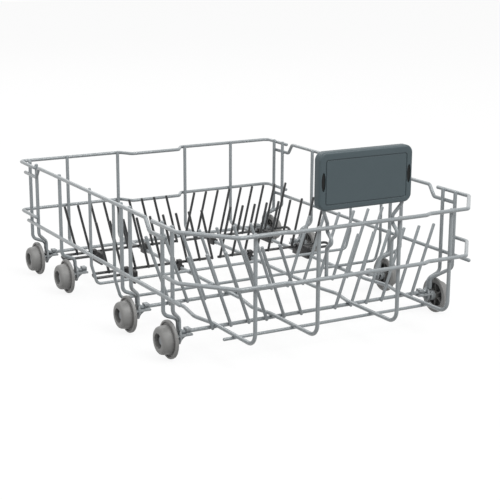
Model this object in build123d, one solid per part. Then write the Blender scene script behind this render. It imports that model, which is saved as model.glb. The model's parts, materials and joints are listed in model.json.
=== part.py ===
from build123d import *
import math
import os

# Lower dishwasher basket of a narrow machine: a welded wire frame on eight wheels,
# with fixed and folding plate tines and a handle on the front wall.
# X runs across, +Y to the back, Z up from the floor that the wheels stand on.

# Wires
frame_dia = 4.2
floor_dia = 3.4
tine_dia = 3.5
fold_dia = 3.3
fold_base_dia = 3.6
weld_gap = 0.02
frame_bend = 7.0
arch_bend = 8.0
jog_bend = 5.0

# Outline of the rails
rail_half_width = 191.2
back_y = 263.5
front_y = -258.0
upright_top_z = 155.0

back_top_z = 150.7
back_mid_z = 84.7
back_upright_rise = 3.2
back_return_y = 208.0
recess_half_width = 36.0
recess_jog = 11.0
recess_depth = 17.5

front_top_z = 151.8
front_low_z = 97.2
front_corner_set_in = 44.7
front_corner_y = -204.0
front_bow = 4.2
front_bow_half_width = 85.0
front_bow_jog = 8.0
front_top_return_y = -143.0
front_low_return_y = -172.0

side_top_z = 152.5
side_end_drop = 13.5
side_low_z = 75.0
side_top_back_y = 246.0
side_top_front_y = -178.0
side_back_kink_y = 199.0
side_front_kink_y = -133.0
side_kink_run = 10.0
side_low_back_y = 241.0
side_low_front_y = -211.0

# Floor
floor_z = 32.0
long_wire_x = (-126.2, -52.0, 52.0, 126.2)
long_jog_y = (-160.0, -128.0, -90.0)
long_jog_out = 6.5
long_jog_bend = 30.0
long_front_bend = 14.0
long_back_bend = 8.0
floor_wire_y = (36.0, -33.5)
floor_foot_z = 60.0
floor_foot_in = 7.0
front_cross_y = -207.0
front_cross_half = 139.0

# Wheels
wheel_y = (237.5, 133.5, -54.0, -160.2)
flange_dia = 43.5
wheel_set_in = 12.7
flange_thick = 4.0
tread_dia = 31.0
tread_width = 11.4
tread_draft = 1.2
wheel_wall = 2.2
rim_edge = 1.2
nose_round = 5.0
hub_wall = 2.4
web_thick = 2.4
face_depth = 5.2
face_hole_dia = 15.5
spokes = 6
spoke_thick = 1.3
spoke_set_in = 2.5
pin_dia = 6.0
pin_clearance = 0.08
pin_head_extra = 1.6
pin_head_thick = 1.4
pin_end_play = 0.3

# Wheel arches and holders
arch_outer_z = 50.5
arch_inner_z = 43.5
arch_set_in = 21.7
stay_offset = 23.5
stay_knee_z = 60.0
stay_set_in = 21.2
stay_inner_z = 45.0
stay_end_z = 31.0
wheel_wire_tail = 1.5
boss_dia = 12.0
boss_gap = 0.6
boss_arch_gap = 0.6
boss_seat = 2.0
plate_tail = 1.5
plate_width = 10.0
plate_thick = 2.4
clip_bend_gap = 0.5
clip_length = 6.0
clip_wall = 2.0
clip_mouth = 2.6
gusset_thick = 3.0
gusset_rise = 0.2
wire_play = 0.05

# Fixed tines
tine_left_pitch = 23.0
tine_right_pitch = 21.9
tine_top_z = 113.0
tine_foot_z = 25.6
tine_lean = 19.4
tine_left_x = 128.8
tine_right_x = 120.5
middle_left_count = 7
front_left_count = 6
right_count = 6

# Folding tine racks
rack_y = (174.0, 71.5)
rack_z = 38.4
rack_inner_x = 3.6
rack_set_in = 19.2
rack_pitch = 18.15
rack_first_x = 5.6
rack_count = 9
rack_foot_z = 37.2
rack_top_z = 104.5
rack_lean = 13.5
crank_reach = 10.0
crank_drop = 3.0
crank_bend = 4.0
crank_gap = 1.0
rack_clip_play = 0.08
rack_clip_width = 5.4
rack_clip_length = 13.0
rack_clip_wall = 1.9
lock_reach = 32.5
lock_post_y = 21.5
lock_post_length = 15.0
lock_post_top_z = 43.0

# Handle on the front wall
cover_width = 118.0
cover_height = 62.0
cover_bottom_z = 171.3
cover_thick = 10.0
cover_wall = 2.2
cover_front_y = -268.3
cover_corner = 9.0
cover_edge = 2.5
inset_side = 7.5
inset_top = 8.0
inset_bottom = 6.0
inset_corner = 3.0
inset_line = 1.0
inset_depth = 0.8
slot_height = 20.0
slot_width = 4.8
slot_from_edge = 2.4
back_plate_thick = 2.0
back_plate_gap = 0.15
grip_wire_dia = 3.8
grip_set_in = 9.0
grip_top_z = 213.0
grip_leg_x = 42.0
grip_leg_end_z = 95.0
grip_hook_z = 138.0
grip_hook_out = 11.8
grip_hook_half = 9.0
grip_bend = 5.0
grip_hole_play = 0.1

# Values that follow from the sizes above
frame_step = frame_dia + weld_gap
thin_step = (frame_dia + floor_dia) / 2 + weld_gap
upright_x = rail_half_width - frame_step
thin_upright_x = rail_half_width - thin_step
axle_wire_z = floor_z - frame_step
cross_wire_z = floor_z + thin_step
front_cross_z = floor_z - thin_step
axle_z = flange_dia / 2
front_corner_x = rail_half_width - front_corner_set_in
flange_inner_x = rail_half_width - wheel_set_in
arch_inner_x = rail_half_width - arch_set_in
stay_inner_x = rail_half_width - stay_set_in
rack_outer_x = rail_half_width - rack_set_in
rack_clip_foot = frame_dia + 2 * rack_clip_wall
crank_end_x = long_wire_x[-1] + rack_clip_foot / 2 + crank_gap
grip_half_width = cover_width / 2 - grip_set_in
grip_leg_y = front_y - front_bow + (frame_dia + grip_wire_dia) / 2
wheel_outer_x = flange_inner_x + flange_thick + tread_width
side_end_z = side_top_z - side_end_drop
clip_start_x = arch_inner_x - arch_bend - clip_bend_gap - clip_length
plate_end_x = clip_start_x - plate_tail
wheel_wire_end_x = clip_start_x - wheel_wire_tail

# The hooks of the handle's legs are foremost and the back rails are hindmost: half way is Y = 0
hook_round = grip_bend * (math.hypot(grip_hook_out, grip_hook_half) / grip_hook_half - 1)
hook_front_y = grip_leg_y - grip_hook_out - grip_wire_dia / 2 + hook_round
origin_shift = -(back_y + frame_dia / 2 + hook_front_y) / 2


def save(node, shape):
    shape = Pos(0, origin_shift, 0) * shape
    shape.label = node
    export_step(shape, f"parts/{node}.step")


def group(solids):
    return Compound(children=list(solids))


def wire(points, diameter, bends=0.0):
    """One wire along straight runs joined by tangent bends."""
    if len(points) == 2:
        path = Line(*points)
    else:
        path = FilletPolyline(*points, radius=bends)
    section = Plane(origin=path @ 0, z_dir=path % 0) * Circle(diameter / 2)
    return sweep(section, path=path).solid()


def mirror_points(points):
    """The points followed by their mirror images, for a wire that is symmetric about X = 0."""
    return list(points) + [(-x, y, z) for x, y, z in reversed(points)]


def back_rail(z):
    recess_y = back_y - recess_depth
    half = [
        (-rail_half_width, back_return_y, z),
        (-rail_half_width, back_y, z),
        (-recess_half_width - recess_jog, back_y, z),
        (-recess_half_width, recess_y, z),
    ]
    bends = [frame_bend, jog_bend, jog_bend]
    return wire(mirror_points(half), frame_dia, bends + bends[::-1])


def front_rail(z, return_y):
    half = [
        (-rail_half_width, return_y, z),
        (-rail_half_width, front_corner_y, z),
        (-front_corner_x, front_y, z),
        (-front_bow_half_width - front_bow_jog, front_y, z),
        (-front_bow_half_width, front_y - front_bow, z),
    ]
    bends = [frame_bend, frame_bend, jog_bend, jog_bend]
    return wire(mirror_points(half), frame_dia, bends + bends[::-1])


def side_top_rail(side):
    x = side * rail_half_width
    points = [
        (x, side_top_back_y, side_end_z),
        (x, side_back_kink_y + side_kink_run / 2, side_end_z),
        (x, side_back_kink_y - side_kink_run / 2, side_top_z),
        (x, side_front_kink_y + side_kink_run / 2, side_top_z),
        (x, side_front_kink_y - side_kink_run / 2, side_end_z),
        (x, side_top_front_y, side_end_z),
    ]
    return wire(points, frame_dia, jog_bend)


def side_low_rail(side):
    x = side * rail_half_width
    return wire([(x, side_low_back_y, side_low_z), (x, side_low_front_y, side_low_z)], frame_dia)


def long_wire(x):
    """Front upright, floor run and back upright bent from one length."""
    bow = front_bow if abs(x) < front_bow_half_width else 0.0
    front_upright_y = front_y - bow + frame_step
    back_upright_y = back_y - frame_step
    points = [
        (x, front_upright_y, front_top_z + frame_dia / 2),
        (x, front_upright_y, floor_z),
        (x, long_jog_y[0], floor_z),
        (x + math.copysign(long_jog_out, x), long_jog_y[1], floor_z),
        (x, long_jog_y[2], floor_z),
        (x, back_upright_y, floor_z),
        (x, back_upright_y, back_top_z + back_upright_rise),
    ]
    return wire(points, frame_dia, [long_front_bend] + 3 * [long_jog_bend] + [long_back_bend])


def arch_points(side, y):
    """A side upright that bends in over a wheel and down to the axle wire's height."""
    return [
        (side * upright_x, y, upright_top_z),
        (side * upright_x, y, arch_outer_z),
        (side * arch_inner_x, y, arch_inner_z),
        (side * arch_inner_x, y, axle_wire_z),
    ]


def axle_wire(y):
    return wire(mirror_points(arch_points(-1, y)), frame_dia, arch_bend)


def wheel_wire(side, y):
    end = [(side * wheel_wire_end_x, y, axle_wire_z)]
    return wire(arch_points(side, y) + end, frame_dia, arch_bend)


def side_stay(side, y):
    """An upright in front of a wheel arch, bent back and in to stand against the arch."""
    stay_y = y - frame_step
    points = [
        (side * upright_x, y - stay_offset, upright_top_z),
        (side * upright_x, y - stay_offset, stay_knee_z),
        (side * stay_inner_x, stay_y, stay_inner_z),
        (side * stay_inner_x, stay_y, stay_end_z),
    ]
    return wire(points, frame_dia, arch_bend)


def floor_wire(y):
    half = [
        (-thin_upright_x, y, upright_top_z),
        (-thin_upright_x, y, floor_foot_z),
        (-thin_upright_x + floor_foot_in, y, cross_wire_z),
    ]
    return wire(mirror_points(half), floor_dia, frame_bend)


def leaning_tine(x, y, side, weld_z, foot_z, top_z, lean, diameter):
    """A straight tine that passes x at its weld and leans out to its side."""
    slope = side * math.tan(math.radians(lean))
    foot = (x + slope * (foot_z - weld_z), y, foot_z)
    tip = (x + slope * (top_z - weld_z), y, top_z)
    return wire([foot, tip], diameter)


def tine_row(y, left_count):
    """Fixed tines welded against the front of an axle wire."""
    tine_y = y - (frame_dia + tine_dia) / 2 - weld_gap
    places = [(-1, -tine_left_x + i * tine_left_pitch) for i in range(left_count)]
    places += [(1, tine_right_x + (1 - i) * tine_right_pitch) for i in range(right_count)]
    return group(
        leaning_tine(x, tine_y, side, axle_wire_z, tine_foot_z, tine_top_z, tine_lean, tine_dia)
        for side, x in places
    )


def fold_rack(side, y):
    """A base wire turned back into a crank at its outer end, with leaning tines against its front."""
    tine_y = y - (fold_base_dia + fold_dia) / 2 - weld_gap
    crank_y = y - crank_reach
    crank_z = rack_z - crank_drop
    points = [
        (side * rack_inner_x, y, rack_z),
        (side * rack_outer_x, y, rack_z),
        (side * rack_outer_x, crank_y, crank_z),
        (side * crank_end_x, crank_y, crank_z),
    ]
    base = wire(points, fold_base_dia, crank_bend)
    feet = [side * (rack_first_x + i * rack_pitch) for i in range(rack_count)]
    return group([base] + [
        leaning_tine(x, tine_y, side, rack_z, rack_foot_z, rack_top_z, rack_lean, fold_dia) for x in feet
    ])


def along_x(start, length, radius, y, z):
    """A round bar along +X from start."""
    plane = Plane(origin=(start, y, z), z_dir=(1, 0, 0))
    return plane * Cylinder(radius, length, align=(Align.CENTER, Align.CENTER, Align.MIN))


def rack_clip(x, y):
    """A snap clip on a long floor wire, with a bearing for the rack's base wire above it.

    The clips of the outer wires reach forward to a post beside the rack's crank.
    """
    outer = abs(x) == long_wire_x[-1]
    front = lock_reach if outer else rack_clip_length / 2
    length = front + rack_clip_length / 2
    low_z = floor_z - frame_dia / 2 - rack_clip_wall
    seat_z = floor_z + frame_dia / 2 + rack_clip_wall / 2
    top_z = rack_z + fold_base_dia / 2 + rack_clip_wall
    on_seat = (Align.CENTER, Align.CENTER, Align.MIN)
    from_front = (Align.CENTER, Align.MIN, Align.MIN)
    body = Pos(x, y - front, low_z) * Box(rack_clip_foot, length, seat_z - low_z, align=from_front)
    bearing_length = fold_base_dia + 2 * rack_clip_wall
    bearing = Pos(x, y, seat_z) * Box(rack_clip_width, bearing_length, top_z - seat_z, align=on_seat)
    body += fillet(bearing.edges().filter_by(Axis.X).group_by(Axis.Z)[-1], rack_clip_wall)
    if outer:
        post = Pos(x, y - lock_post_y, seat_z) * Box(
            rack_clip_width, lock_post_length, lock_post_top_z - seat_z, align=on_seat
        )
        body += fillet(post.edges().filter_by(Axis.X).group_by(Axis.Z)[-1], rack_clip_wall)
    channel = Plane(origin=(x, y - 2 * front, floor_z), z_dir=(0, 1, 0)) * Cylinder(
        frame_dia / 2 + wire_play, 3 * length, align=on_seat
    )
    mouth = Pos(x, y - 2 * front, low_z - rack_clip_wall) * Box(
        clip_mouth, 3 * length, 2 * rack_clip_wall, align=from_front
    )
    bearing_hole = along_x(
        x - rack_clip_foot, 2 * rack_clip_foot, fold_base_dia / 2 + rack_clip_play, y, rack_z
    )
    return (body - channel - mouth - bearing_hole).solid()


def wheel(side, y):
    """Flanged wheel, hollow and spoked towards the basket, with a round hole in its outer face."""
    hub_bore = pin_dia / 2 + pin_clearance
    hub_r = hub_bore + hub_wall
    tread_r = tread_dia / 2
    inner_r = tread_r - wheel_wall
    root_x = flange_inner_x + flange_thick
    web_x = wheel_outer_x - face_depth
    profile = Polyline(
        (flange_inner_x, inner_r),
        (flange_inner_x, axle_z),
        (root_x, axle_z),
        (root_x, tread_r + tread_draft),
        (wheel_outer_x, tread_r),
        (wheel_outer_x, face_hole_dia / 2),
        (web_x, face_hole_dia / 2),
        (web_x, hub_bore),
        (flange_inner_x, hub_bore),
        (flange_inner_x, hub_r),
        (web_x - web_thick, hub_r),
        (web_x - web_thick, inner_r),
        close=True,
    )
    section = make_face(profile)
    section = chamfer(section.vertices().group_by(Axis.Y)[-1], rim_edge)
    nose = section.vertices().group_by(Axis.X)[-1].sort_by(Axis.Y)[-1]
    section = fillet(nose, nose_round)
    body = revolve(section, Axis.X)
    spoke_x = flange_inner_x + spoke_set_in
    spoke_length = web_x - web_thick - spoke_x
    for i in range(spokes):
        rib = Pos(spoke_x, 0, hub_bore + hub_wall / 2) * Box(
            spoke_length,
            spoke_thick,
            inner_r - hub_bore - hub_wall / 2 + wheel_wall / 2,
            align=(Align.MIN, Align.CENTER, Align.MIN),
        )
        body += Rot(X=i * 360 / spokes) * rib
    if side < 0:
        body = mirror(body, about=Plane.YZ)
    return (Pos(0, y, axle_z) * body).solid()


def wheel_holder(side, y):
    """Holder clipped under the axle wire, with the pin that the wheel turns on."""
    boss_x = arch_inner_x + frame_dia / 2 + boss_arch_gap
    boss_end_x = flange_inner_x - boss_gap
    web_x = wheel_outer_x - face_depth
    pin_r = pin_dia / 2
    head_x = web_x + pin_end_play
    plate_top = axle_wire_z - frame_dia / 2 - wire_play
    body = along_x(boss_x, boss_end_x - boss_x, boss_dia / 2, y, axle_z)
    body += along_x(boss_end_x, head_x - boss_end_x, pin_r, y, axle_z)
    body += along_x(head_x, pin_head_thick, pin_r + pin_head_extra, y, axle_z)
    plate_length = boss_x + boss_seat - plate_end_x
    body += Pos(plate_end_x, y, plate_top) * Box(
        plate_length, plate_width, plate_thick, align=(Align.MIN, Align.CENTER, Align.MAX)
    )
    clip_height = frame_dia + 2 * wire_play + clip_wall + plate_thick / 2
    clip = Pos(clip_start_x, y, plate_top - plate_thick / 2) * Box(
        clip_length,
        frame_dia + 2 * (wire_play + clip_wall),
        clip_height,
        align=(Align.MIN, Align.CENTER, Align.MIN),
    )
    body += clip
    channel_x = clip_start_x - clip_length
    body -= along_x(channel_x, 3 * clip_length, frame_dia / 2 + wire_play, y, axle_wire_z)
    body -= Pos(clip_start_x + clip_length / 2, y, axle_wire_z) * Box(
        2 * clip_length, frame_dia + 2 * clip_wall, clip_mouth, align=(Align.CENTER, Align.MIN, Align.CENTER)
    )
    rib_top = plate_top - plate_thick / 2
    rib_low = axle_z - boss_dia / 2 + gusset_rise
    rib_in = boss_x + boss_seat
    rib_leg = rib_top - rib_low
    rib_mid = rib_leg * math.sin(math.radians(45))
    rib_sides = Polyline((boss_x - rib_leg, rib_top), (rib_in, rib_top), (rib_in, rib_low), (boss_x, rib_low))
    hollow = ThreePointArc(
        (boss_x, rib_low), (boss_x - rib_leg + rib_mid, rib_low + rib_mid), (boss_x - rib_leg, rib_top)
    )
    rib = make_face(Plane.XZ * (rib_sides + hollow))
    body += Pos(0, y + gusset_thick / 2, 0) * extrude(rib, gusset_thick, dir=(0, -1, 0))
    if side < 0:
        body = mirror(body, about=Plane.YZ)
    return body.solid()


def grip_points():
    """Left half of the handle's wire, from its foot behind the low rail to the top inside the cover."""
    cover_y = cover_front_y + cover_thick / 2
    hook_y = grip_leg_y - grip_hook_out
    return [
        (-grip_leg_x, grip_leg_y, grip_leg_end_z),
        (-grip_leg_x, grip_leg_y, grip_hook_z - grip_hook_half),
        (-grip_leg_x, hook_y, grip_hook_z),
        (-grip_leg_x, grip_leg_y, grip_hook_z + grip_hook_half),
        (-grip_leg_x, grip_leg_y, front_top_z + frame_dia),
        (-grip_half_width, cover_y, cover_bottom_z - cover_wall),
        (-grip_half_width, cover_y, grip_top_z),
    ]


def handle_wire():
    return wire(mirror_points(grip_points()), grip_wire_dia, grip_bend)


def cover_outline(grow=0.0):
    return RectangleRounded(cover_width + 2 * grow, cover_height + 2 * grow, cover_corner + grow)


def handle_cover():
    """Moulded shell, open at the back, with a framed front panel and a slim finger slot at each end."""
    mid_z = cover_bottom_z + cover_height / 2
    front = Plane(origin=(0, cover_front_y, mid_z), x_dir=(1, 0, 0), z_dir=(0, -1, 0))
    shell = extrude(front * cover_outline(), -cover_thick)
    shell = fillet(shell.faces().sort_by(Axis.Y)[0].edges(), cover_edge)
    hollow = extrude(front.offset(-cover_wall) * cover_outline(-cover_wall), -cover_thick)
    shell -= hollow
    panel_width = cover_width - 2 * inset_side
    panel_height = cover_height - inset_top - inset_bottom
    panel = Pos(0, (inset_bottom - inset_top) / 2) * RectangleRounded(panel_width, panel_height, inset_corner)
    field = Pos(0, (inset_bottom - inset_top) / 2) * RectangleRounded(
        panel_width - 2 * inset_line, panel_height - 2 * inset_line, inset_corner - inset_line
    )
    shell -= extrude(front * (panel - field), -inset_depth)
    for side in (-1, 1):
        place = Pos(side * (cover_width / 2 - slot_from_edge - slot_width / 2), 0)
        shell -= extrude(front * place * Ellipse(slot_width / 2, slot_height / 2), -2 * cover_wall)
    for side in (-1, 1):
        hole = Pos(side * grip_half_width, cover_front_y + cover_thick / 2, cover_bottom_z)
        shell -= hole * Cylinder(grip_wire_dia / 2 + grip_hole_play, 4 * cover_wall)
    return shell.solid()


def handle_back():
    """Flat plate that closes the cover from behind."""
    mid_z = cover_bottom_z + cover_height / 2
    back = Plane(
        origin=(0, cover_front_y + cover_thick, mid_z), x_dir=(1, 0, 0), z_dir=(0, -1, 0)
    )
    return extrude(back * cover_outline(-cover_wall - back_plate_gap), back_plate_thick).solid()


os.makedirs("parts", exist_ok=True)

save("back_top_rail", back_rail(back_top_z))
save("back_mid_rail", back_rail(back_mid_z))
save("front_top_rail", front_rail(front_top_z, front_top_return_y))
save("front_low_rail", front_rail(front_low_z, front_low_return_y))

for number, x in enumerate(long_wire_x, start=1):
    save(f"long_floor_wire_{number}", long_wire(x))
for name, y in zip(("rear", "front"), floor_wire_y):
    save(f"cross_floor_wire_{name}", floor_wire(y))
cross_ends = [(side * front_cross_half, front_cross_y, front_cross_z) for side in (-1, 1)]
save("front_cross_wire", wire(cross_ends, floor_dia))

axle_wires = {"rear": wheel_y[0], "middle": wheel_y[2], "front": wheel_y[3]}
for name, y in axle_wires.items():
    save(f"axle_wire_{name}", axle_wire(y))
save("fixed_tines_middle", tine_row(axle_wires["middle"], middle_left_count))
save("fixed_tines_front", tine_row(axle_wires["front"], front_left_count))

for hand, side in (("left", -1), ("right", 1)):
    save(f"side_top_rail_{hand}", side_top_rail(side))
    save(f"side_low_rail_{hand}", side_low_rail(side))
    save(f"wheel_wire_{hand}", wheel_wire(side, wheel_y[1]))
    save(f"side_stays_{hand}", group(side_stay(side, y) for y in axle_wires.values()))
    for number, y in enumerate(wheel_y, start=1):
        save(f"wheel_{hand}_{number}", wheel(side, y))
        save(f"wheel_holder_{hand}_{number}", wheel_holder(side, y))
    for name, y in zip(("rear", "second"), rack_y):
        save(f"tine_rack_{name}_{hand}", fold_rack(side, y))
        clip_x = [x for x in long_wire_x if x * side > 0]
        save(f"rack_clips_{name}_{hand}", group(rack_clip(x, y) for x in clip_x))

save("handle_wire", handle_wire())
save("handle_cover", handle_cover())
save("handle_back", handle_back())
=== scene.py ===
import json
import math

import bmesh
import bpy
from mathutils import Matrix, Vector

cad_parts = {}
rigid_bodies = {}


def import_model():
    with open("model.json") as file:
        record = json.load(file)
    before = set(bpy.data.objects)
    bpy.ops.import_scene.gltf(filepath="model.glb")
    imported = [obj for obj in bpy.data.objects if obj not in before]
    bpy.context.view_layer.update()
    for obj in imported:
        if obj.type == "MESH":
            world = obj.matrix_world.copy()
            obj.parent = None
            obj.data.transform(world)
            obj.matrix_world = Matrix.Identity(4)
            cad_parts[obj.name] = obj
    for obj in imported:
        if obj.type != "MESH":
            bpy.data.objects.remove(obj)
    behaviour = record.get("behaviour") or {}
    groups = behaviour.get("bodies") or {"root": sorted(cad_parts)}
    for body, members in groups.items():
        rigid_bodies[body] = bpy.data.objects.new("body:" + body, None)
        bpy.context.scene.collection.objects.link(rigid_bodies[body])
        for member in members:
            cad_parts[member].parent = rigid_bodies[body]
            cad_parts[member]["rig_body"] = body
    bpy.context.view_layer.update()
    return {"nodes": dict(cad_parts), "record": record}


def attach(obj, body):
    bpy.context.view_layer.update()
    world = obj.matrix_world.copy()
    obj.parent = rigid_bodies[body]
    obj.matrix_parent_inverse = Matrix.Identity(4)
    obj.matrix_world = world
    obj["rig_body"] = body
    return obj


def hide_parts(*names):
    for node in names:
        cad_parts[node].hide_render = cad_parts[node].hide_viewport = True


# Places and sizes are millimetres in the basket's own layout, whose y lies shiftY off the part's origin
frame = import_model()
mm = 0.001
hands = {"left": -1, "right": 1}
wheelY = (237.5, 133.5, -54.0, -160.2)
joints = {joint["name"]: joint for joint in frame["record"]["behaviour"]["joints"]}
shiftY = joints["wheel_left_1_spin"]["pos_m"][1] / mm - wheelY[0]
slotOf = {part["node"]: part["material_slot"] for part in frame["record"]["subparts"]}


class Soc:
    # a socket of a node tree: sums and products of sockets add Math nodes to its tree
    def __init__(self, tree, socket=None):
        self.tree = tree
        self.socket = socket

    def node(self, kind, settings={}, inputs={}, output=0):
        made = self.tree.nodes.new(kind)
        for name, value in settings.items():
            setattr(made, name, value)
        for key, value in inputs.items():
            if isinstance(value, Soc):
                self.tree.links.new(value.socket, made.inputs[key])
            else:
                made.inputs[key].default_value = value
        return Soc(self.tree, made.outputs[output]) if made.outputs else None

    def maths(self, operation, first, second):
        return self.node("ShaderNodeMath", {"operation": operation}, {0: first, 1: second})

    def __add__(self, other):
        return self.maths("ADD", self, other)

    def __radd__(self, other):
        return self.maths("ADD", other, self)

    def __sub__(self, other):
        return self.maths("SUBTRACT", self, other)

    def __mul__(self, other):
        return self.maths("MULTIPLY", self, other)


# Finishes: colours are linear, noise scales are per metre
noiseMiddle = 0.5  # what a noise texture swings about


def noise(s, place, look, layer):
    inputs = {"Vector": place, "Scale": look[layer + "Scale"], "Detail": look[layer + "Detail"]}
    return s.node("ShaderNodeTexNoise", inputs=inputs)


def blend(s, share, first, second):
    # 6, 7 and 2 are the Mix node's colour sockets
    return s.node("ShaderNodeMix", {"data_type": "RGBA"}, {0: share, 6: first, 7: second}, 2)


def moulded(name, look):
    material = bpy.data.materials.new(name)
    material.use_nodes = True
    material.node_tree.nodes.clear()
    s = Soc(material.node_tree)
    place = s.node("ShaderNodeTexCoord", output="Object")
    cloud, grain, swell = (noise(s, place, look, layer) for layer in ("cloud", "grain", "swell"))
    shade = cloud * look["cloudShare"] + grain * (1 - look["cloudShare"])
    colour = blend(s, shade, (*look["deep"], 1), (*look["light"], 1))
    # painted shade: where the mesh marks the wheel's hollows, the colour darkens towards near black
    if "hollow" in look:
        sunk = s.node("ShaderNodeAttribute", {"attribute_name": "hollow"}, output="Fac")
        colour = blend(s, sunk, colour, (*look["hollow"], 1))
    roughness = look["rough"] + (cloud - noiseMiddle) * look["roughSpread"]
    roughness += (grain - noiseMiddle) * look["roughGrain"]
    relief = grain * look["grainShare"] + swell * (1 - look["grainShare"])
    normal = s.node(
        "ShaderNodeBump", inputs={"Strength": look["bump"], "Distance": look["depth"], "Height": relief}
    )
    skin = s.node(
        "ShaderNodeBsdfPrincipled",
        inputs={
            "Base Color": colour,
            "Roughness": roughness,
            "Normal": normal,
            "IOR": look["ior"],
            "Coat Weight": look["coat"],
            "Coat Roughness": look["coatRough"],
        },
    )
    s.node("ShaderNodeOutputMaterial", inputs={"Surface": skin})
    return material


nylonCoat = {
    "deep": (0.232, 0.256, 0.268),
    "light": (0.292, 0.318, 0.33),
    "cloudScale": 55.0,
    "cloudDetail": 3.0,
    "grainScale": 900.0,
    "grainDetail": 2.0,
    "swellScale": 260.0,
    "swellDetail": 1.0,
    "cloudShare": 0.7,  # of the cloud in the colour, and below of the grain in the relief
    "grainShare": 0.35,
    "rough": 0.31,
    "roughSpread": 0.14,
    "roughGrain": 0.06,
    "bump": 0.16,
    "depth": 0.0004,
    "ior": 1.5,
    "coat": 0.35,
    "coatRough": 0.13,
}
finishes = {
    "coated_wire": moulded("greyNylonCoat", nylonCoat),
    "dark_wire": moulded(
        "darkNylonCoat",
        {**nylonCoat, "deep": (0.018, 0.02, 0.021), "light": (0.031, 0.033, 0.035), "coat": 0.12},
    ),
    "wheel_plastic": moulded(
        "wheelGrey",
        {
            **nylonCoat,
            "deep": (0.218, 0.217, 0.212),
            "light": (0.272, 0.27, 0.264),
            "hollow": (0.05, 0.051, 0.052),  # painted shade inside the wheel, dark in the photo
            "cloudScale": 90.0,
            "grainScale": 1700.0,
            "rough": 0.52,
            "bump": 0.2,
            "depth": 0.0003,
            "coat": 0.0,
        },
    ),
    "clip_plastic": moulded(
        "clipBlack",
        {
            **nylonCoat,
            "deep": (0.011, 0.011, 0.012),
            "light": (0.021, 0.021, 0.022),
            "rough": 0.45,
            "coat": 0.0,
        },
    ),
    "slot_fill_black": moulded(
        "padBlack",
        {
            **nylonCoat,
            "deep": (0.004, 0.005, 0.005),
            "light": (0.008, 0.009, 0.009),
            "rough": 0.7,
            "ior": 1.35,
            "coat": 0.0,
        },
    ),
    "holder_plastic": moulded(
        "holderGrey",
        {
            **nylonCoat,
            "deep": (0.28, 0.302, 0.312),
            "light": (0.34, 0.362, 0.372),
            "rough": 0.42,
            "coat": 0.0,
        },
    ),
    "handle_plastic": moulded(
        "handleSlate",
        {
            **nylonCoat,
            "deep": (0.044, 0.066, 0.075),
            "light": (0.058, 0.083, 0.093),
            "cloudScale": 26.0,
            "grainScale": 2600.0,
            "swellScale": 500.0,
            "grainShare": 0.8,
            "rough": 0.47,
            "bump": 0.14,
            "depth": 0.0002,
            "coat": 0.0,
        },
    ),
}
print("finishes:", ", ".join(sorted(finishes)))


# Wires: every wire is straight runs and tangent bends, swept by one node tree
wire = {
    "frame": 4.2,
    "floor": 3.4,
    "tine": 3.5,
    "fold": 3.3,
    "foldBase": 3.6,
    "grip": 3.8,
    "weldGap": 0.02,
    "coat": 0.14,  # how far the soft coat of the cage's wires stands proud of the wire
    "ringSteps": 18,
    "arcSteps": 9,
    "tipSteps": 5,
    "tipLength": 0.7,  # share of the wire's radius that the coat rounds off at a cut end
    "tipFlat": 12.0,  # degrees of the round that the cut end leaves flat
    "bend": 7.0,
    "archBend": 8.0,
    "jogBend": 5.0,
}
step = wire["frame"] + wire["weldGap"]
thinStep = (wire["frame"] + wire["floor"]) / 2 + wire["weldGap"]
wireRuns = {}


def addWire(node, points, diameter, bends=None):
    inner = len(points) - 2
    if not isinstance(bends, list):
        bends = [bends or 0.0] * inner
    coat = wire["coat"] if frame["nodes"][node]["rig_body"] == "basket" else 0.0
    run = {
        "points": [Vector((x, y + shiftY, z)) * mm for x, y, z in points],
        "radius": (diameter / 2 + coat) * mm,
        "bends": [0.0] + [bend * mm for bend in bends] + [0.0],
    }
    wireRuns.setdefault(node, []).append(run)


def mirrored(points):
    return list(points) + [(-x, y, z) for x, y, z in reversed(points)]


# Back and front walls
walls = {
    "railX": 191.2,
    "backY": 263.5,
    "frontY": -258.0,
    "uprightTop": 155.0,
    "backRails": {"back_top_rail": 150.7, "back_mid_rail": 84.7},
    "backRise": 3.2,
    "backReturn": 208.0,
    "recess": (36.0, 11.0, 17.5),  # half width, jog and depth of the step in the back rails
    "frontRails": {"front_top_rail": (151.8, -143.0), "front_low_rail": (97.2, -172.0)},
    "corner": (146.5, -204.0),
    "bow": (85.0, 8.0, 4.2),  # half width, jog and depth of the front rails' bow
    "sideTop": 152.5,
    "sideDrop": 13.5,
    "sideEnds": (246.0, -178.0),
    "sideKinks": (199.0, -133.0),
    "kinkRun": 10.0,
    "sideLow": (75.0, 241.0, -211.0),
}
uprightX = walls["railX"] - step

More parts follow.
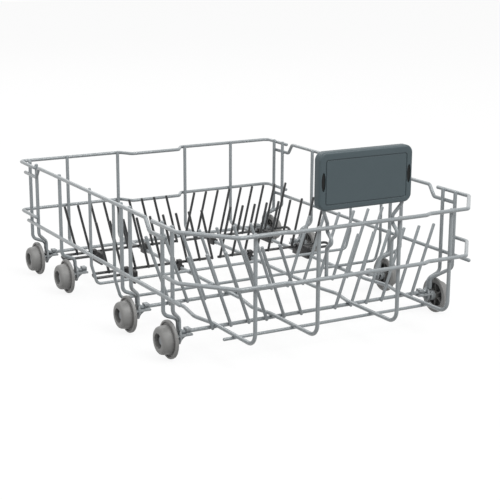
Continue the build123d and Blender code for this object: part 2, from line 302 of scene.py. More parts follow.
for node, z in walls["backRails"].items():
    half, jog, depth = walls["recess"]
    corners = [
        (-walls["railX"], walls["backReturn"], z),
        (-walls["railX"], walls["backY"], z),
        (-half - jog, walls["backY"], z),
        (-half, walls["backY"] - depth, z),
    ]
    turns = [wire["bend"], wire["jogBend"], wire["jogBend"]]
    addWire(node, mirrored(corners), wire["frame"], turns + turns[::-1])
for node, (z, returnY) in walls["frontRails"].items():
    half, jog, depth = walls["bow"]
    corners = [
        (-walls["railX"], returnY, z),
        (-walls["railX"], walls["corner"][1], z),
        (-walls["corner"][0], walls["frontY"], z),
        (-half - jog, walls["frontY"], z),
        (-half, walls["frontY"] - depth, z),
    ]
    turns = [wire["bend"], wire["bend"], wire["jogBend"], wire["jogBend"]]
    addWire(node, mirrored(corners), wire["frame"], turns + turns[::-1])
for hand, side in hands.items():
    x = side * walls["railX"]
    low = walls["sideTop"] - walls["sideDrop"]
    rise = walls["kinkRun"] / 2
    backKink, frontKink = walls["sideKinks"]
    corners = [
        (x, walls["sideEnds"][0], low),
        (x, backKink + rise, low),
        (x, backKink - rise, walls["sideTop"]),
        (x, frontKink + rise, walls["sideTop"]),
        (x, frontKink - rise, low),
        (x, walls["sideEnds"][1], low),
    ]
    addWire(f"side_top_rail_{hand}", corners, wire["frame"], wire["jogBend"])
    z, back, front = walls["sideLow"]
    addWire(f"side_low_rail_{hand}", [(x, back, z), (x, front, z)], wire["frame"])

# Floor grid
grid = {
    "z": 32.0,
    "longX": (-126.2, -52.0, 52.0, 126.2),
    "longBends": [14.0, 30.0, 30.0, 30.0, 8.0],
    "jogY": (-160.0, -128.0, -90.0),
    "jogOut": 6.5,
    "crossY": {"rear": 36.0, "front": -33.5},
    "footZ": 60.0,
    "footIn": 7.0,
    "frontCross": (139.0, -207.0),
}
for number, x in enumerate(grid["longX"], start=1):
    half, _, depth = walls["bow"]
    front = walls["frontY"] + step - (depth if abs(x) < half else 0.0)
    back = walls["backY"] - step
    corners = [
        (x, front, walls["frontRails"]["front_top_rail"][0] + wire["frame"] / 2),
        (x, front, grid["z"]),
        (x, grid["jogY"][0], grid["z"]),
        (x + math.copysign(grid["jogOut"], x), grid["jogY"][1], grid["z"]),
        (x, grid["jogY"][2], grid["z"]),
        (x, back, grid["z"]),
        (x, back, walls["backRails"]["back_top_rail"] + walls["backRise"]),
    ]
    addWire(f"long_floor_wire_{number}", corners, wire["frame"], grid["longBends"])
for name, y in grid["crossY"].items():
    x = walls["railX"] - thinStep
    corners = [
        (-x, y, walls["uprightTop"]),
        (-x, y, grid["footZ"]),
        (grid["footIn"] - x, y, grid["z"] + thinStep),
    ]
    addWire(f"cross_floor_wire_{name}", mirrored(corners), wire["floor"], wire["bend"])
half, y = grid["frontCross"]
addWire("front_cross_wire", mirrored([(-half, y, grid["z"] - thinStep)]), wire["floor"])

# Wheel arches, the axle wires that run on from them, and the stays beside them
arch = {
    "outerZ": 50.5,
    "innerZ": 43.5,
    "innerX": 169.5,
    "wireEnd": 153.5,
    "stayOffset": 23.5,
    "stayKnee": 60.0,
    "stayIn": (170.0, 45.0, 31.0),
}
axleZ = grid["z"] - step
axleY = {"rear": wheelY[0], "middle": wheelY[2], "front": wheelY[3]}


def archPoints(side, y):
    return [
        (side * uprightX, y, walls["uprightTop"]),
        (side * uprightX, y, arch["outerZ"]),
        (side * arch["innerX"], y, arch["innerZ"]),
        (side * arch["innerX"], y, axleZ),
    ]


for name, y in axleY.items():
    addWire(f"axle_wire_{name}", mirrored(archPoints(-1, y)), wire["frame"], wire["archBend"])
for hand, side in hands.items():
    y = wheelY[1]
    end = [(side * arch["wireEnd"], y, axleZ)]
    addWire(f"wheel_wire_{hand}", archPoints(side, y) + end, wire["frame"], wire["archBend"])
    stayX, stayZ, stayEnd = arch["stayIn"]
    for y in axleY.values():
        corners = [
            (side * uprightX, y - arch["stayOffset"], walls["uprightTop"]),
            (side * uprightX, y - arch["stayOffset"], arch["stayKnee"]),
            (side * stayX, y - step, stayZ),
            (side * stayX, y - step, stayEnd),
        ]
        addWire(f"side_stays_{hand}", corners, wire["frame"], wire["archBend"])

# Tines
fixedTines = {
    "left": {"middle": 7, "front": 6},
    "leftFirst": 128.8,
    "leftPitch": 23.0,
    "right": 6,
    "rightFirst": 120.5,
    "rightPitch": 21.9,
    "foot": 25.6,
    "top": 113.0,
    "lean": 19.4,
}
foldTines = {
    "y": {"rear": 174.0, "second": 71.5},
    "z": 38.4,
    "inner": 3.6,
    "outer": 172.0,
    "first": 5.6,
    "pitch": 18.15,
    "count": 9,
    "foot": 37.2,
    "top": 104.5,
    "lean": 13.5,
    "crank": (131.2, 10.0, 3.0),  # where the turned-back end stops, its reach and its drop
    "crankBend": 4.0,
}


def addTine(node, x, y, side, weldZ, shape, diameter):
    slope = side * math.tan(math.radians(shape["lean"]))
    ends = [(x + slope * (z - weldZ), y, z) for z in (shape["foot"], shape["top"])]
    addWire(node, ends, diameter)


for name, leftCount in fixedTines["left"].items():
    y = axleY[name] - (wire["frame"] + wire["tine"]) / 2 - wire["weldGap"]
    places = [(-1, i * fixedTines["leftPitch"] - fixedTines["leftFirst"]) for i in range(leftCount)]
    for i in range(fixedTines["right"]):
        places.append((1, fixedTines["rightFirst"] + (1 - i) * fixedTines["rightPitch"]))
    for side, x in places:
        addTine(f"fixed_tines_{name}", x, y, side, axleZ, fixedTines, wire["tine"])
for name, y in foldTines["y"].items():
    for hand, side in hands.items():
        node = f"tine_rack_{name}_{hand}"
        crankX, reach, drop = foldTines["crank"]
        corners = [
            (side * foldTines["inner"], y, foldTines["z"]),
            (side * foldTines["outer"], y, foldTines["z"]),
            (side * foldTines["outer"], y - reach, foldTines["z"] - drop),
            (side * crankX, y - reach, foldTines["z"] - drop),
        ]
        addWire(node, corners, wire["foldBase"], foldTines["crankBend"])
        tineY = y - (wire["foldBase"] + wire["fold"]) / 2 - wire["weldGap"]
        for i in range(foldTines["count"]):
            x = side * (foldTines["first"] + i * foldTines["pitch"])
            addTine(node, x, tineY, side, foldTines["z"], foldTines, wire["fold"])

# Handle wire: from its feet behind the low rail, out under the top rail and up into the cover
grip = {
    "legX": 42.0,
    "legEnd": 95.0,
    "hook": (138.0, 11.8, 9.0),  # height, reach and half height of the forward hook
    "topX": 50.0,
    "topZ": 213.0,
    "coverY": -263.3,
    "coverZ": 169.1,
    "bend": 5.0,
}
legY = walls["frontY"] - walls["bow"][2] + (wire["frame"] + wire["grip"]) / 2
hookZ, reach, half = grip["hook"]
corners = [
    (-grip["legX"], legY, grip["legEnd"]),
    (-grip["legX"], legY, hookZ - half),
    (-grip["legX"], legY - reach, hookZ),
    (-grip["legX"], legY, hookZ + half),
    (-grip["legX"], legY, walls["frontRails"]["front_top_rail"][0] + wire["frame"]),
    (-grip["topX"], grip["coverY"], grip["coverZ"]),
    (-grip["topX"], grip["coverY"], grip["topZ"]),
]
addWire("handle_wire", mirrored(corners), wire["grip"], grip["bend"])
print("wires laid out:", sum(len(runs) for runs in wireRuns.values()), "in", len(wireRuns), "nodes")


def treeOf(name, sizes):
    tree = bpy.data.node_groups.new(name, "GeometryNodeTree")
    tree.interface.new_socket("Geometry", in_out="INPUT", socket_type="NodeSocketGeometry")
    for label, kind in sizes.items():
        tree.interface.new_socket(label, in_out="INPUT", socket_type=kind)
    tree.interface.new_socket("Geometry", in_out="OUTPUT", socket_type="NodeSocketGeometry")
    return Soc(tree)


def given(s, label):
    return s.node("NodeGroupInput", output=label)


def named(s, label, kind):
    return s.node("GeometryNodeInputNamedAttribute", {"data_type": kind}, {"Name": label})


def endTree(s, geometry):
    smooth = s.node("GeometryNodeSetShadeSmooth", inputs={"Geometry": geometry})
    real = s.node("GeometryNodeRealizeInstances", inputs={"Geometry": smooth})
    done = s.node("GeometryNodeSetMaterial", inputs={"Geometry": real, "Material": given(s, "Finish")})
    s.node("NodeGroupOutput", inputs={"Geometry": done})
    return s.tree


def wireTree():
    s = treeOf(
        "sweptWire",
        {"Ring Steps": "NodeSocketInt", "Arc Steps": "NodeSocketInt", "Finish": "NodeSocketMaterial"},
    )
    line = s.node("GeometryNodeMeshToCurve", inputs={"Mesh": given(s, "Geometry")})
    bent = s.node(
        "GeometryNodeFilletCurve",
        {"mode": "POLY"},
        {"Curve": line, "Count": given(s, "Arc Steps"), "Radius": named(s, "bend", "FLOAT")},
    )
    ring = s.node(
        "GeometryNodeCurvePrimitiveCircle",
        {"mode": "RADIUS"},
        {"Resolution": given(s, "Ring Steps"), "Radius": 1.0},
    )
    girth = named(s, "girth", "FLOAT")
    tube = s.node(
        "GeometryNodeCurveToMesh",
        inputs={"Curve": bent, "Profile Curve": ring, "Scale": girth, "Fill Caps": True},
    )
    return endTree(s, tube)


def beadTree():
    s = treeOf(
        "weldBeads",
        {"Spread": "NodeSocketFloat", "Thickness": "NodeSocketFloat", "Finish": "NodeSocketMaterial"},
    )
    segments, rings = bead["ball"]
    ball = s.node("GeometryNodeMeshUVSphere", inputs={"Segments": segments, "Rings": rings, "Radius": 1.0})
    across = named(s, "across", "FLOAT_VECTOR")
    turn = s.node("FunctionNodeAlignRotationToVector", {"axis": "Z"}, {"Vector": across})
    girth = named(s, "girth", "FLOAT")
    spread = girth * given(s, "Spread")
    size = s.node(
        "ShaderNodeCombineXYZ", inputs={"X": spread, "Y": spread, "Z": girth * given(s, "Thickness")}
    )
    beads = s.node(
        "GeometryNodeInstanceOnPoints",
        inputs={"Points": given(s, "Geometry"), "Instance": ball, "Rotation": turn, "Scale": size},
    )
    return endTree(s, beads)


def applied(thing):
    bpy.context.view_layer.update()
    ready = thing.evaluated_get(bpy.context.evaluated_depsgraph_get())
    return bpy.data.meshes.new_from_object(ready)


def meshFrom(build, name):
    mesh = bpy.data.meshes.new(name)
    build.to_mesh(mesh)
    build.free()
    return mesh


def grown(name, tree, points, edges, attributes, inputs):
    mesh = bpy.data.meshes.new(name)
    mesh.from_pydata(points, edges, [])
    for label, (kind, key, values) in attributes.items():
        mesh.attributes.new(label, kind, "POINT").data.foreach_set(key, values)
    seed = bpy.data.objects.new(name + "Path", mesh)
    bpy.context.scene.collection.objects.link(seed)
    grower = seed.modifiers.new("grow", "NODES")
    grower.node_group = tree
    sockets = {item.name: item.identifier for item in tree.interface.items_tree if item.in_out == "INPUT"}
    for label, value in inputs.items():
        grower[sockets[label]] = value
    shape = applied(seed)
    bpy.data.objects.remove(seed)
    return placed(name, shape)


def placed(name, mesh):
    build = bmesh.new()
    build.from_mesh(mesh)
    bmesh.ops.recalc_face_normals(build, faces=build.faces)
    build.to_mesh(mesh)
    build.free()
    mesh.name = name
    piece = bpy.data.objects.new(name, mesh)
    bpy.context.scene.collection.objects.link(piece)
    return piece


def handOver(piece, node):
    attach(piece, frame["nodes"][node]["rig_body"])
    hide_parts(node)


def runPoints(run):
    # the path of one wire, with the rounded tip at each cut end as extra points of smaller girth
    points, bends, radius = run["points"], run["bends"], run["radius"]
    flat = math.radians(wire["tipFlat"])
    laid = []
    for end, towards in ((points[0], points[1]), (points[-1], points[-2])):
        along = (towards - end).normalized()
        tip = []
        for i in range(wire["tipSteps"] + 1):
            turn = math.radians(wire["tipFlat"] + (90 - wire["tipFlat"]) * i / wire["tipSteps"])
            depth = radius * wire["tipLength"] * (math.cos(flat) - math.cos(turn))
            tip.append((end + along * depth, 0.0, radius * math.sin(turn)))
        laid.append(tip)
    middle = [(p, b, radius) for p, b in zip(points[1:-1], bends[1:-1])]
    return laid[0] + middle + laid[1][::-1]


sweep = wireTree()
for node, runs in wireRuns.items():
    rows = []
    edges = []
    for run in runs:
        first = len(rows)
        rows += runPoints(run)
        edges += [(i, i + 1) for i in range(first, len(rows) - 1)]
    piece = grown(
        "coated_" + node,
        sweep,
        [row[0] for row in rows],
        edges,
        {
            "bend": ("FLOAT", "value", [row[1] for row in rows]),
            "girth": ("FLOAT", "value", [row[2] for row in rows]),
        },
        {"Ring Steps": wire["ringSteps"], "Arc Steps": wire["arcSteps"], "Finish": finishes[slotOf[node]]},
    )
    handOver(piece, node)
print("wires swept")

# Weld beads: the coat runs together where two wires of the cage touch
bead = {
    "spread": 1.0,  # shares of the thinner wire's radius
    "thickness": 0.55,
    "reach": 0.25,  # widest gap that the coat bridges
    "parallel": 1e-9,
    "ball": (14, 8),
}


def straights(run):
    points, bends = run["points"], run["bends"]
    cuts = [0.0]
    for before, corner, after, bend in zip(points, points[1:], points[2:], bends[1:]):
        turn = (corner - before).angle(after - corner)
        cuts.append(bend * math.tan(turn / 2))
    cuts.append(0.0)
    for i, (a, b) in enumerate(zip(points, points[1:])):
        along = (b - a).normalized()
        yield a + along * cuts[i], b - along * cuts[i + 1]


def nearest(a, b, c, d):
    # where two straight runs come closest, if that is between their ends
    u, v, w = b - a, d - c, a - c
    uu, uv, vv, uw, vw = u.dot(u), u.dot(v), v.dot(v), u.dot(w), v.dot(w)
    room = uu * vv - uv * uv
    if room < bead["parallel"] * uu * vv:
        return None
    s = (uv * vw - vv * uw) / room
    t = (uu * vw - uv * uw) / room
    if not (0 <= s <= 1 and 0 <= t <= 1):
        return None
    return a + u * s, c + v * t


cage = [
    (run["radius"], ends)
    for node, runs in wireRuns.items()
    if frame["nodes"][node]["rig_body"] == "basket"
    for run in runs
    for ends in straights(run)
]
welds = []
for i, (radiusA, endsA) in enumerate(cage):
    for radiusB, endsB in cage[i + 1:]:
        found = nearest(*endsA, *endsB)
        if found and (found[0] - found[1]).length < radiusA + radiusB + bead["reach"] * mm:
            across = (found[1] - found[0]).normalized()
            welds.append((found[0] + across * radiusA, across, min(radiusA, radiusB)))
beads = grown(
    "weldBeads",
    beadTree(),
    [w[0] for w in welds],
    [],
    {
        "across": ("FLOAT_VECTOR", "vector", [value for w in welds for value in w[1]]),
        "girth": ("FLOAT", "value", [w[2] for w in welds]),
    },
    {"Spread": bead["spread"], "Thickness": bead["thickness"], "Finish": finishes["coated_wire"]},
)
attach(beads, "basket")
print("weld beads:", len(welds))


# Wheels: a turned shell with soft edges, ribbed on the basket's side
wheel = {
    "innerX": 178.5,
    "flangeThick": 4.0,
    "flangeRadius": 21.75,
    "treadRadius": 15.5,
    "draft": 1.2,
    "treadWidth": 11.4,
    "wall": 2.2,
    "faceDepth": 6.4,
    "dish": (2.6, 1.8),  # width of the flange's lip, and how far the flange is sunk inside it
    "mouth": (16.6, 3.4),  # radius of the hollow at the flange, and how deep it narrows
    "faceHole": 8.5,
    "web": 2.4,
    "bore": 3.08,
    "hubWall": 2.4,
    "nose": 5.0,
    "edge": 1.3,
    "soft": 0.5,
    "turns": 84,
    "arcSteps": 5,
    "roundShare": 0.65,  # most of an edge that a rounded corner may use up
    "smoothAngle": 50,
    "spokes": 6,
    "spokeThick": 1.3,
    "spokeIn": 2.5,
    "hollowFrom": 0.4,  # depth at which the painted shade in the hollow starts, and over what depth it deepens
    "hollowRun": 3.0,
    "recessShade": 0.5,
}


def roundedLoop(corners, arcSteps):
    laid = []
    for i, (x, r, radius) in enumerate(corners):
        here = Vector((x, r))
        before = Vector(corners[i - 1][:2]) - here
        after = Vector(corners[(i + 1) % len(corners)][:2]) - here
        turn = before.angle(after)
        room = min(before.length, after.length) * wheel["roundShare"]
        cut = min(radius / math.tan(turn / 2), room)
        start, end = here + before.normalized() * cut, here + after.normalized() * cut
        for j in range(arcSteps + 1):
            t = j / arcSteps
            laid.append(start * (1 - t) ** 2 + here * 2 * t * (1 - t) + end * t ** 2)
    return laid


def turned(build, loop, turns, side, y, z):
    rings = []
    for i in range(turns):
        out, rise = math.cos(2 * math.pi * i / turns), math.sin(2 * math.pi * i / turns)
        ring = [Vector((side * x, y + r * out, z + r * rise)) * mm for x, r in loop]
        rings.append([build.verts.new(point) for point in ring])
    for i in range(turns):
        here, there = rings[i], rings[(i + 1) % turns]
        for j in range(len(loop)):
            k = (j + 1) % len(loop)
            build.faces.new((here[j], here[k], there[k], there[j]))


bevelSteps = 2


def softBlock(build, low, high, width, place):
    made = bmesh.ops.create_cube(build, size=1.0)["verts"]
    fit = Matrix.Translation((high + low) / 2) @ Matrix.Diagonal((*(high - low), 1))
    bmesh.ops.transform(build, verts=made, matrix=place @ fit)
    edges = list({edge for vert in made for edge in vert.link_edges})
    bmesh.ops.bevel(build, geom=edges, offset=width, segments=bevelSteps, affect="EDGES", profile=0.5)


def wheelMesh(name, side, y):
    w = wheel
    z = w["flangeRadius"]
    rootX = w["innerX"] + w["flangeThick"]
    outerX = rootX + w["treadWidth"]
    webX = outerX - w["faceDepth"]
    innerR = w["treadRadius"] - w["wall"]
    hubR = w["bore"] + w["hubWall"]
    lip, sunk = w["dish"]
    mouthR, mouthDeep = w["mouth"]
    loop = roundedLoop(
        [
            (w["innerX"] + mouthDeep, innerR, w["edge"]),
            (w["innerX"], mouthR, w["soft"]),
            (w["innerX"], z, w["edge"]),
            (rootX, z, w["edge"]),
            (rootX, z - lip, w["soft"]),
            (rootX - sunk, z - lip - w["soft"], w["soft"]),
            (rootX - sunk, w["treadRadius"] + w["draft"], w["soft"]),
            (outerX, w["treadRadius"], w["nose"]),
            (outerX, w["faceHole"], w["soft"]),
            (webX, w["faceHole"], w["soft"]),
            (webX, w["bore"], w["soft"]),
            (w["innerX"], w["bore"], w["soft"]),
            (w["innerX"], hubR, w["soft"]),
            (webX - w["web"], hubR, w["soft"]),
            (webX - w["web"], innerR, w["soft"]),
        ],
        w["arcSteps"],
    )
    build = bmesh.new()
    turned(build, loop, w["turns"], side, y, z)
    spokeX = sorted((side * (w["innerX"] + w["spokeIn"]), side * (webX - w["web"] / 2)))
    thick = w["spokeThick"] / 2
    for i in range(w["spokes"]):
        turn = Matrix.Rotation(2 * math.pi * i / w["spokes"], 4, "X")
        place = Matrix.Translation((0, y * mm, z * mm)) @ turn
        low = Vector((spokeX[0], -thick, hubR - w["hubWall"] / 2)) * mm
        high = Vector((spokeX[1], thick, innerR + w["wall"] / 2)) * mm
        softBlock(build, low, high, w["soft"] * mm / 2, place)
    # painted shade mask: the hollow behind the flange darkens with depth, the recess in the face by a
    # fixed share
    hollow = build.verts.layers.float.new("hollow")
    for vert in build.verts:
        x = side * vert.co.x / mm
        r = math.hypot(vert.co.y / mm - y, vert.co.z / mm - z)
        if hubR - w["soft"] < r < mouthR and x < webX - w["web"] / 2:
            depth = x - w["innerX"] - w["hollowFrom"]
            vert[hollow] = min(max(depth / w["hollowRun"], 0.0), 1.0)
        elif r < w["faceHole"] + w["soft"] and abs(x - webX) < w["web"] / 2:
            vert[hollow] = w["recessShade"]
    return meshFrom(build, name)


def smoothed(piece, angle):
    piece.data.shade_smooth()
    piece.data.set_sharp_from_angle(angle=math.radians(angle))


for hand, side in hands.items():
    for number, y in enumerate(wheelY, start=1):
        node = f"wheel_{hand}_{number}"
        piece = placed("moulded_" + node, wheelMesh(node, side, y + shiftY))
        smoothed(piece, wheel["smoothAngle"])
        piece.data.materials.append(finishes["wheel_plastic"])
        handOver(piece, node)
print("wheels turned")


def bridged(build, rings):
    count = len(rings[0])
    for here, there in zip(rings, rings[1:]):
        for i in range(count):
            k = (i + 1) % count
            build.faces.new((here[i], here[k], there[k], there[i]))


# Moulded pieces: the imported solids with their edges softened
soft = {
    "widths": {"wheel_holder": 0.35, "rack_clips": 0.3, "handle_back": 0.4},
    "steps": 3,
    "sharpAngle": 40,  # edges sharper than this are softened
    "flatAngle": 1,  # faces flatter than this are joined first
    "sameSpot": 1e-6,  # metres
    "smoothAngle": 35,
}


def softened(node, width):
    build = bmesh.new()
    build.from_mesh(frame["nodes"][node].data)
    bmesh.ops.remove_doubles(build, verts=build.verts, dist=soft["sameSpot"])
    flat = math.radians(soft["flatAngle"])
    bmesh.ops.dissolve_limit(build, angle_limit=flat, verts=build.verts, edges=build.edges)
    rough = bpy.data.objects.new(node + "Rough", meshFrom(build, node))
    bpy.context.scene.collection.objects.link(rough)
    bevel = rough.modifiers.new("soften", "BEVEL")
    bevel.width = width * mm
    bevel.segments = soft["steps"]
    bevel.limit_method = "ANGLE"
    bevel.angle_limit = math.radians(soft["sharpAngle"])
    bevel.use_clamp_overlap = False
    shape = applied(rough)
    bpy.data.objects.remove(rough)
    shape.materials.clear()
    return placed("moulded_" + node, shape)


# Under each wheel holder: a pointed shield behind the wheel and a hollowed fin along the wire
keel = {
    "shieldX": (167.0, 169.8),
    # half width and height of the shield, from its top
    "shieldHalf": [(4.4, 31.5), (5.5, 25.0), (5.5, 21.0), (1.2, 14.2)],
    "finEnd": 153.0,
    "finTop": 24.8,
    "finFoot": 23.7,
    "finLow": 14.9,
    "finThick": 2.6,
    "finSteps": 8,
    "soft": 0.3,
}


def slab(build, corners, offset):
    low = [build.verts.new(corner * mm) for corner in corners]
    high = [build.verts.new((corner + offset) * mm) for corner in corners]
    bridged(build, [low, high])
    build.faces.new(low)
    build.faces.new(high)
    edges = list({edge for vert in low + high for edge in vert.link_edges})
    width = keel["soft"] * mm
    bmesh.ops.bevel(
        build, geom=edges, offset=width, segments=bevelSteps, affect="EDGES", clamp_overlap=True
    )


def addKeel(piece, side, y):
    near, far = keel["shieldX"]
    build = bmesh.new()
    build.from_mesh(piece.data)
    for vert in build.verts:
        vert.co.y = 2 * y * mm - vert.co.y  # the clip's mouth faces forwards
    outline = keel["shieldHalf"] + [(-across, z) for across, z in reversed(keel["shieldHalf"])]
    shield = [Vector((side * near, y + across, z)) for across, z in outline]
    slab(build, shield, Vector((side * (far - near), 0, 0)))
    run, drop = near - keel["finEnd"], keel["finFoot"] - keel["finLow"]
    edge = []
    for i in range(keel["finSteps"] + 1):
        turn = math.radians(90 * i / keel["finSteps"])
        edge.append((keel["finEnd"] + run * math.sin(turn), keel["finLow"] + drop * math.cos(turn)))
    inside = (near + far) / 2
    outline = [(inside, keel["finTop"]), (keel["finEnd"], keel["finTop"])]
    outline += edge + [(inside, keel["finLow"])]
    fin = [Vector((side * x, y - keel["finThick"] / 2, z)) for x, z in outline]
    slab(build, fin, Vector((0, keel["finThick"], 0)))
    bmesh.ops.recalc_face_normals(build, faces=build.faces)
    build.to_mesh(piece.data)
    build.free()


for node in sorted(frame["nodes"]):
    for start, width in soft["widths"].items():
        if node.startswith(start):
            piece = softened(node, width)
            if start == "wheel_holder":
                hand, number = node.split("_")[2:]
                addKeel(piece, hands[hand], wheelY[int(number) - 1] + shiftY)
            smoothed(piece, soft["smoothAngle"])
            finish = "holder_plastic" if start == "wheel_holder" else slotOf[node]
            piece.data.materials.append(finishes[finish])
            handOver(piece, node)
print("moulded pieces softened")


# Handle cover: a shell drawn as rounded rings from its hollow round the rim to the framed panel
cover = {
    "width": 118.0,
    "height": 62.0,
    "bottom": 171.3,
    "frontY": -268.3,
    "thick": 10.0,
    "wall": 2.2,
    "corner": 9.0,
    "edge": 2.5,
    "inset": (7.5, 8.0, 6.0),  # from the sides, the top and the bottom to the panel's line
    "insetCorner": 3.0,
    "line": (1.0, 0.8),  # width and depth of that line
    "soft": 0.2,
    "slot": (4.8, 20.0, 2.4),  # width, height and distance from the end
    "cornerSteps": 10,
    "edgeSteps": 6,
    "slotSteps": 40,
    "smoothAngle": 30,
}


def coverRing(build, insets, corner, depth):
    side, top, bottom = insets
    x = cover["width"] / 2 - side - corner
    low = cover["bottom"] + bottom + corner
    high = cover["bottom"] + cover["height"] - top - corner
    y = cover["frontY"] + shiftY + depth
    ring = []
    for turn, (midX, midZ) in enumerate([(x, high), (-x, high), (-x, low), (x, low)]):
        for i in range(cover["cornerSteps"] + 1):
            angle = math.radians(90 * (turn + i / cover["cornerSteps"]))
            point = Vector((midX + corner * math.cos(angle), y, midZ + corner * math.sin(angle)))
            ring.append(build.verts.new(point * mm))
    return ring


def coverMesh():
    wall, edge, brow = cover["wall"], cover["edge"], cover["soft"]
    line, deep = cover["line"]
    layers = [(wall, wall), (wall, cover["thick"]), (0.0, cover["thick"])]
    for i in range(cover["edgeSteps"] + 1):
        angle = math.radians(90 * i / cover["edgeSteps"])
        layers.append((edge * (1 - math.cos(angle)), edge * (1 - math.sin(angle))))
    build = bmesh.new()
    rings = [coverRing(build, (inset,) * 3, cover["corner"] - inset, depth) for inset, depth in layers]
    grooveSteps = [(-brow, 0), (0, brow), (0, deep - brow), (brow, deep)]
    grooveSteps += [(line - inset, depth) for inset, depth in reversed(grooveSteps)]
    for inset, depth in grooveSteps:
        insets = [value + inset for value in cover["inset"]]
        rings.append(coverRing(build, insets, cover["insetCorner"] - inset, depth))
    bridged(build, rings)
    build.faces.new(rings[0])
    build.faces.new(rings[-1])
    return placed("coverShell", meshFrom(build, "coverShell"))


def slotRing(build, side, depth, size=1.0):
    width, height, fromEnd = cover["slot"]
    middle = Vector((
        side * (cover["width"] / 2 - fromEnd - width / 2),
        cover["frontY"] + shiftY + depth,
        cover["bottom"] + cover["height"] / 2,
    ))
    ring = []
    for i in range(cover["slotSteps"]):
        angle = 2 * math.pi * i / cover["slotSteps"]
        around = Vector((width / 2 * math.cos(angle), 0, height / 2 * math.sin(angle))) * size
        ring.append(build.verts.new((middle + around) * mm))
    return ring


def slotCutter(side):
    build = bmesh.new()
    caps = [slotRing(build, side, depth) for depth in (-cover["wall"], 2 * cover["wall"])]
    bridged(build, caps)
    for ring in caps:
        build.faces.new(ring)
    return placed("slotCutter", meshFrom(build, "slotCutter"))


shell = coverMesh()
cutters = [slotCutter(side) for side in hands.values()]
for cutter in cutters:
    cut = shell.modifiers.new("slot", "BOOLEAN")
    cut.object = cutter
    cut.solver = "EXACT"
shape = applied(shell)
for spare in [shell] + cutters:
    bpy.data.objects.remove(spare)
piece = placed("moulded_handle_cover", shape)
smoothed(piece, cover["smoothAngle"])
piece.data.materials.append(finishes["handle_plastic"])
handOver(piece, "handle_cover")

# Near-black pads just behind the slots, which show the slots black
pad = {
    # share of the slot's size, and depth behind the cover's front
    "crown": [(0.4, 0.45), (0.78, 0.55), (0.92, 0.8), (0.95, 1.3), (0.95, 2.3)],
    "flange": [(1.2, 2.3), (1.2, 3.4)],
    "smoothAngle": 40,
}
for hand, side in hands.items():
    build = bmesh.new()
    rings = [slotRing(build, side, depth, size) for size, depth in pad["crown"] + pad["flange"]]
    bridged(build, rings)
    build.faces.new(rings[0])
    build.faces.new(rings[-1])
    piece = placed("slot_pad_" + hand, meshFrom(build, "slotPad"))
    smoothed(piece, pad["smoothAngle"])
    piece.data.materials.append(finishes["slot_fill_black"])
    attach(piece, frame["nodes"]["handle_cover"]["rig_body"])
print("handle cover drawn")


# Floor, light and camera
studio = {
    "floorSize": 12.0,
    "floorShade": (0.35, 0.9),  # as the object is lit by it, and as it is seen
    "floorGlow": 0.88,
    "sky": (0.16, 0.85),  # level at the horizon, and what is added to it overhead
    "lamps": {
        "keyLamp": {"place": (0.6, -1.8, 2.4), "size": 1.4, "watts": 54.0},
        "fillLamp": {"place": (-2.0, -0.5, 1.5), "size": 1.6, "watts": 12.0},
        "backLamp": {"place": (0.3, 2.1, 1.9), "size": 1.6, "watts": 13.0},
    },
    "aim": (0.0, 0.0, 0.08),
}
view = {
    "place": (-766.0, -1364.3, 462.7),  # millimetres
    "azimuth": -30.24,
    "elevation": 14.5,
    "roll": 0.4,
    "focalPixels": 1290.4,
    "centrePixel": (262.0, 254.8),
    "framePixels": 500,
    "sensor": 36.0,
    "clipEnd": 50.0,  # metres
}


def seenRay(s):
    seen = s.node("ShaderNodeLightPath", output="Is Camera Ray")
    for kind in ("Is Glossy Ray", "Is Transmission Ray"):
        seen = s.maths("MAXIMUM", seen, s.node("ShaderNodeLightPath", output=kind))
    return seen


world = bpy.data.worlds.new("whiteStudio")
bpy.context.scene.world = world
world.use_nodes = True
world.node_tree.nodes.clear()
s = Soc(world.node_tree)
towards = s.node("ShaderNodeTexCoord", output="Generated")
height = s.maths("MAXIMUM", s.node("ShaderNodeSeparateXYZ", inputs={0: towards}, output="Z"), 0.0)
horizon, overhead = studio["sky"]
level = height * overhead + horizon
dim = s.node("ShaderNodeBackground", inputs={"Color": (1, 1, 1, 1), "Strength": level})
white = s.node("ShaderNodeBackground", inputs={"Color": (1, 1, 1, 1), "Strength": 1.0})
mixed = s.node("ShaderNodeMixShader", inputs={0: seenRay(s), 1: dim, 2: white})
s.node("ShaderNodeOutputWorld", inputs={"Surface": mixed})

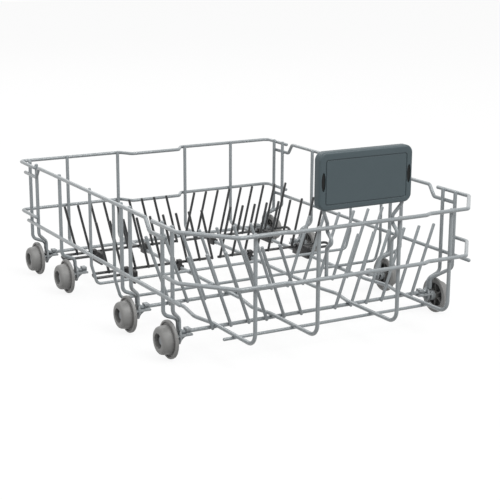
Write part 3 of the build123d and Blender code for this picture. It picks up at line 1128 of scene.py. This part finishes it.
half = studio["floorSize"] / 2
floorMesh = bpy.data.meshes.new("studioFloor")
floorCorners = [(-half, -half, 0), (half, -half, 0), (half, half, 0), (-half, half, 0)]
floorMesh.from_pydata(floorCorners, [], [(0, 1, 2, 3)])
floor = bpy.data.objects.new("studioFloor", floorMesh)
bpy.context.scene.collection.objects.link(floor)
floorPaint = bpy.data.materials.new("studioFloor")
floorPaint.use_nodes = True
floorPaint.node_tree.nodes.clear()
s = Soc(floorPaint.node_tree)
lit, seen = studio["floorShade"]
matt = s.node("ShaderNodeBsdfDiffuse", inputs={"Color": seenRay(s) * (seen - lit) + lit})
glow = s.node("ShaderNodeEmission", inputs={"Color": (1, 1, 1, 1), "Strength": 1.0})
mixed = s.node("ShaderNodeMixShader", inputs={0: seenRay(s) * studio["floorGlow"], 1: matt, 2: glow})
s.node("ShaderNodeOutputMaterial", inputs={"Surface": mixed})
floorMesh.materials.append(floorPaint)

for name, lamp in studio["lamps"].items():
    data = bpy.data.lights.new(name, "AREA")
    data.size = lamp["size"]
    data.energy = lamp["watts"]
    light = bpy.data.objects.new(name, data)
    light.location = lamp["place"]
    light.rotation_euler = (Vector(studio["aim"]) - light.location).to_track_quat("-Z", "Y").to_euler()
    bpy.context.scene.collection.objects.link(light)

azimuth, elevation, roll = (math.radians(view[key]) for key in ("azimuth", "elevation", "roll"))
flatBack = Vector((math.sin(azimuth), -math.cos(azimuth), 0))
back = flatBack * math.cos(elevation) + Vector((0, 0, math.sin(elevation)))
right = Vector((math.cos(azimuth), math.sin(azimuth), 0))
up = back.cross(right)
across = math.cos(roll) * right + math.sin(roll) * up
upright = math.cos(roll) * up - math.sin(roll) * right
lens = bpy.data.cameras.new("photoView")
lens.sensor_width = view["sensor"]
lens.lens = view["focalPixels"] * view["sensor"] / view["framePixels"]
lens.shift_x = 0.5 - view["centrePixel"][0] / view["framePixels"]
lens.shift_y = view["centrePixel"][1] / view["framePixels"] - 0.5
lens.clip_end = view["clipEnd"]
camera = bpy.data.objects.new("photoView", lens)
spot = (Vector(view["place"]) + Vector((0, shiftY, 0))) * mm
camera.matrix_world = Matrix.Translation(spot) @ Matrix((across, upright, back)).transposed().to_4x4()
bpy.context.scene.collection.objects.link(camera)
bpy.context.scene.camera = camera
bpy.context.scene.view_settings.view_transform = "Standard"
print("floor, lamps and camera set")
